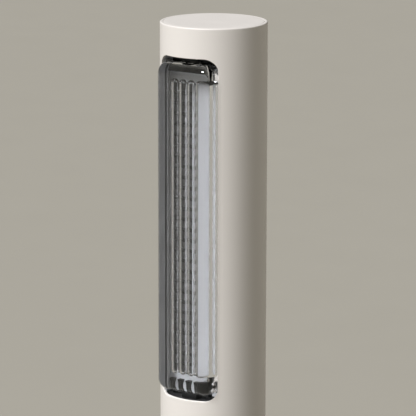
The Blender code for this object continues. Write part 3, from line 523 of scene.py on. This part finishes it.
def glass():
    """The thick clear block, with upright flutes let into its back.

    Its front and back faces are shaded flat.
    """
    bm = bmesh.new()
    parts = [glass_sides()]
    parts += [flute((i - (FLUTES - 1) / 2) * FLUTE_PITCH + FLUTE_OFFSET) for i in range(FLUTES)]
    for verts, faces in parts:
        add_faces(bm, verts, faces)
    bmesh.ops.remove_doubles(bm, verts=bm.verts, dist=1e-7)
    bmesh.ops.dissolve_degenerate(bm, edges=bm.edges, dist=1e-7)
    open_edges = [edge for edge in bm.edges if edge.is_boundary]
    bmesh.ops.triangle_fill(bm, use_beauty=True, use_dissolve=False, edges=open_edges,
                            normal=(0, 1, 0))
    bmesh.ops.recalc_face_normals(bm, faces=bm.faces)
    mesh = bpy.data.meshes.new("glass_panel")
    bm.to_mesh(mesh)
    bm.free()
    mesh.shade_smooth()
    mesh.set_sharp_from_angle(angle=math.radians(35))
    for polygon in mesh.polygons:
        polygon.use_smooth = abs(polygon.normal.y) < 0.9999
    piece = link(bpy.data.objects.new("glass_panel", mesh))
    return dress(piece, "housing", "clear_glass", "glass_block")


# ---- the back ------------------------------------------------------------------------
def flat_prism(name, outline):
    """A cutter: an (x, z) outline pushed along Y through the tube's back wall."""
    y0, y1 = CUTTER_Y
    count = len(outline)
    verts = [Vector((x, y0, z)) for x, z in outline] + [Vector((x, y1, z)) for x, z in outline]
    faces = [tuple(range(count)), tuple(range(2 * count - 1, count - 1, -1))]
    faces += [(i, (i + 1) % count, count + (i + 1) % count, count + i) for i in range(count)]
    return mesh_piece(name, verts, faces, sharp=None)


def rounded(half, low, high, radius, centre=0.0, steps=8):
    """The outline of a rounded rectangle, as (x, z) points."""
    points = arc((centre + half - radius, high - radius), radius, 0, 90, steps)
    points += arc((centre - half + radius, high - radius), radius, 90, 180, steps)
    points += arc((centre - half + radius, low + radius), radius, 180, 270, steps)
    points += arc((centre + half - radius, low + radius), radius, 270, 360, steps)
    return points


def apply_cuts(piece, cutters, operation="DIFFERENCE"):
    """Cuts a piece by closed cutters, keeps the result as its mesh, and throws the cutters away."""
    for cutter in cutters:
        step = piece.modifiers.new("cut", "BOOLEAN")
        step.operation = operation
        step.object = cutter
        step.solver = "EXACT"
        graph = bpy.context.evaluated_depsgraph_get()
        mesh = bpy.data.meshes.new_from_object(piece.evaluated_get(graph))
        piece.modifiers.clear()
        piece.data = mesh
        bpy.data.objects.remove(cutter)
    return piece


def grille():
    """The perforated panel: a curved plate with upright slots and the finger notch."""
    inner, outer = TUBE_R - WALL, TUBE_R
    half, low, high = GRILLE_HIGH.x, GRILLE_LOW.z, GRILLE_HIGH.z
    reach = math.asin(half / outer) + 0.12
    steps = 120
    verts, faces = [], []
    margin = 5 * MM
    for i in range(steps + 1):
        a = math.pi - reach + 2 * reach * i / steps
        for radius, z in ((inner, low - margin), (outer, low - margin),
                          (outer, high + margin), (inner, high + margin)):
            verts.append(Vector((radius * math.sin(a), -radius * math.cos(a), z)))
    for i in range(steps):
        a, b = 4 * i, 4 * (i + 1)
        for j in range(4):
            k = (j + 1) % 4
            faces.append((a + j, a + k, b + k, b + j))
    faces.append((0, 1, 2, 3))
    faces.append((4 * steps + 3, 4 * steps + 2, 4 * steps + 1, 4 * steps))
    panel = mesh_piece("intake_panel", verts, faces, sharp=None)
    outline = flat_prism("keep", rounded(half, low, high, GRILLE_CORNER_R))
    apply_cuts(panel, [outline], "INTERSECT")
    cutters = []
    for row in range(INTAKE_ROWS):
        middle = low + INTAKE_FIRST + row * INTAKE_ROW_PITCH
        span = middle - INTAKE_HALF_LENGTH, middle + INTAKE_HALF_LENGTH
        for column in range(INTAKE_COLUMNS):
            x = (column - INTAKE_COLUMNS // 2) * INTAKE_PITCH
            shape = rounded(INTAKE_HALF_WIDTH, *span, INTAKE_HALF_WIDTH - 0.01 * MM, x, 5)
            cutters.append(flat_prism("slot", shape))
    notch = rounded(NOTCH_HALF, high - NOTCH_DEPTH, high + 40 * MM, NOTCH_CORNER_R)
    cutters.append(flat_prism("notch", notch))
    apply_cuts(panel, cutters)
    panel.data.shade_smooth()
    panel.data.set_sharp_from_angle(angle=math.radians(35))
    step = panel.modifiers.new("soft edges", "BEVEL")
    step.width = 0.35 * MM
    step.segments = 2
    step.limit_method = "ANGLE"
    step.angle_limit = math.radians(45)
    step.harden_normals = True
    step.loop_slide = False
    return dress(panel, "filter_cassette", "shell_paint", "rear_grille")


def button():
    """The power button, with a shallow dish in its face."""
    back, face = BUTTON_LOW.y, BUTTON_HIGH.y
    flange_back, flange_front = BUTTON_FLANGE_Y
    soft, small, chamfer = 0.5 * MM, 0.3 * MM, 0.2 * MM
    profile = [
        (0, back),
        (BUTTON_STEM_R - small, back),
        (BUTTON_STEM_R, back + small),
        (BUTTON_STEM_R, flange_back),
        (BUTTON_FLANGE_R - chamfer, flange_back),
        (BUTTON_FLANGE_R, flange_back + chamfer),
        (BUTTON_FLANGE_R, flange_front - chamfer),
        (BUTTON_FLANGE_R - chamfer, flange_front),
        (BUTTON_R, flange_front),
    ]
    profile += [(BUTTON_R - soft + u, face - soft + v) for u, v in arc((0, 0), soft, 0, 90, 5)]
    for share in (0.86, 0.7, 0.5, 0.3, 0.12):
        profile.append((BUTTON_R * share, face - BUTTON_DISH * (1 - (share / 0.9) ** 2)))
    profile.append((0, face - BUTTON_DISH))
    z = (BUTTON_LOW.z + BUTTON_HIGH.z) / 2
    piece = revolve("button_cap", profile, 96, "Y", (0, 0, z))
    return dress(piece, "power_button", "shell_paint", "power_button")


def inlet():
    """The barrel socket and its centre pin."""
    z = (INLET_LOW.z + INLET_HIGH.z) / 2
    rear, face = INLET_LOW.y, INLET_HIGH.y
    flange_back, flange_front = INLET_FLANGE_Y
    floor = face - INLET_DEPTH
    soft = 0.3 * MM
    profile = [
        (0, rear),
        (INLET_R, rear),
        (INLET_R, flange_back),
        (INLET_FLANGE_R, flange_back),
        (INLET_FLANGE_R, flange_front),
        (INLET_R, flange_front),
    ]
    profile += [(INLET_R - soft + u, face - soft + v) for u, v in arc((0, 0), soft, 0, 90, 3)]
    profile += [(INLET_BORE_R + soft + u, face - soft + v)
                for u, v in arc((0, 0), soft, 90, 180, 3)]
    profile += [(INLET_BORE_R, floor), (0, floor)]
    socket = revolve("inlet_socket", profile, 96, "Y", (0, 0, z))
    dress(socket, "housing", "black_plastic", "dc_inlet")
    foot, tip = floor + 0.05 * MM, face - 1 * MM
    profile = [
        (0, foot),
        (INLET_PIN_R, foot),
        (INLET_PIN_R, tip - 0.4 * MM),
        (0.75 * INLET_PIN_R, tip - 0.1 * MM),
        (0, tip),
    ]
    dress(revolve("inlet_pin", profile, 48, "Y", (0, 0, z)), "housing", "steel")


# ---- the CAD pieces that stay --------------------------------------------------------
def dress_cad():
    """Gives every CAD node its material, and softens some edges by a width in millimetres."""
    soften = {
        "outlet_frame": 0.4, "filter_bay": 0.4, "cassette_frame": 0.6, "cassette_seal": 0.3,
        "side_rail_left": 0.3, "side_rail_right": 0.3, "button_holder": 0.4,
        "tact_switch": 0.2, "driver_board": 0.15, "control_board": 0.15, "glass_cradle_lower": 0.5,
        "glass_cradle_upper": 0.5, "glass_seal_left": 0.2, "glass_seal_right": 0.2,
        "glass_ledge_left": 0.3, "glass_ledge_right": 0.3, "keeper_left": 0.1, "keeper_right": 0.1,
    }
    for part in frame["record"]["subparts"]:
        obj = frame["nodes"][part["node"]]
        obj.data.materials.clear()
        obj.data.materials.append(MATERIALS[part["material_slot"]])
        width = soften.get(part["node"])
        if width:
            weld = obj.modifiers.new("weld", "WELD")
            weld.merge_threshold = 0.00001
            step = obj.modifiers.new("soft edges", "BEVEL")
            step.width = width * MM
            step.segments = 2
            step.limit_method = "ANGLE"
            step.angle_limit = math.radians(40)


# ---- stage, camera and lights --------------------------------------------------------
def stage():
    """A plain floor that runs far past every view."""
    size = 40.0
    corners = ((-size, -size), (size, -size), (size, size), (-size, size))
    floor = mesh_piece("floor", [(x, y, 0) for x, y in corners], [(0, 1, 2, 3)], sharp=None)
    paint = finish("floor_paint", (0.377, 0.3585, 0.3095), 0.8, vary=0.004, cloud=1.5, grain=300,
                   grain_height=0.001, specular=0.2)
    floor.data.materials.append(paint)


# the camera's place, in tube radii, and its angles
VIEW_DISTANCE, VIEW_SHIFT, VIEW_RISE = 52.41, 0.1017, 7.825
VIEW_AZIMUTH = math.radians(35.25)
VIEW_PITCH, VIEW_ROLL = math.radians(12.24), math.radians(0.10)
VIEW_RIGHT = Vector((math.cos(VIEW_AZIMUTH), math.sin(VIEW_AZIMUTH), 0))
VIEW_FORWARD = Vector((-math.sin(VIEW_AZIMUTH), math.cos(VIEW_AZIMUTH), 0))


def camera():
    """The camera, far from the tower and above its lid, looking a little down."""
    data = bpy.data.cameras.new("camera")
    data.sensor_width = 36
    data.lens = 247.3
    data.clip_end = 200
    cam = link(bpy.data.objects.new("camera", data))
    cam.location = (-VIEW_DISTANCE * TUBE_R * VIEW_FORWARD - VIEW_SHIFT * TUBE_R * VIEW_RIGHT
                    + Vector((0, 0, TUBE_HIGH.z + VIEW_RISE * TUBE_R)))
    forward = VIEW_FORWARD * math.cos(VIEW_PITCH) - Vector((0, 0, math.sin(VIEW_PITCH)))
    up = VIEW_FORWARD * math.sin(VIEW_PITCH) + Vector((0, 0, math.cos(VIEW_PITCH)))
    right = VIEW_RIGHT * math.cos(VIEW_ROLL) + up * math.sin(VIEW_ROLL)
    up = up * math.cos(VIEW_ROLL) - VIEW_RIGHT * math.sin(VIEW_ROLL)
    cam.rotation_mode = "QUATERNION"
    cam.rotation_quaternion = Matrix((right, up, -forward)).transposed().to_quaternion()
    bpy.context.scene.camera = cam


def sun(name, azimuth, elevation, strength, angle, colour):
    """A sun, its azimuth measured from the camera's. Angles are in degrees."""
    data = bpy.data.lights.new(name, "SUN")
    data.energy = strength
    data.angle = math.radians(angle)
    data.color = colour
    obj = link(bpy.data.objects.new(name, data))
    a, e = VIEW_AZIMUTH + math.radians(azimuth), math.radians(elevation)
    away = Vector((math.sin(a) * math.cos(e), -math.cos(a) * math.cos(e), math.sin(e)))
    obj.rotation_mode = "QUATERNION"
    obj.rotation_quaternion = (-away).to_track_quat("-Z", "Y")


def lights():
    """A large soft key from the left, a weak warm rim from behind the right, and a dim sky.

    The camera sees a plain backdrop in place of the sky.
    """
    sun("key", -47, 51, 4.33, 20, (1.0, 0.995, 1.0))
    sun("rim", 118, 12, 0.32, 35, (1.0, 0.92, 0.78))
    world = bpy.data.worlds.new("sky")
    world.use_nodes = True
    nodes, links = world.node_tree.nodes, world.node_tree.links
    dim = nodes["Background"]
    dim.inputs["Color"].default_value = (0.95, 0.93, 0.88, 1)
    dim.inputs["Strength"].default_value = 0.008
    backdrop = nodes.new("ShaderNodeBackground")
    backdrop.inputs["Color"].default_value = (0.385, 0.37, 0.33, 1)
    for_ray(nodes, links, "Is Camera Ray", dim.outputs["Background"],
            backdrop.outputs["Background"], "World Output")
    bpy.context.scene.world = world


bpy.context.scene.view_settings.view_transform = "Standard"

camera()
dress_cad()
tube()
lid()
glass()
grille()
button()
inlet()
stage()
lights()
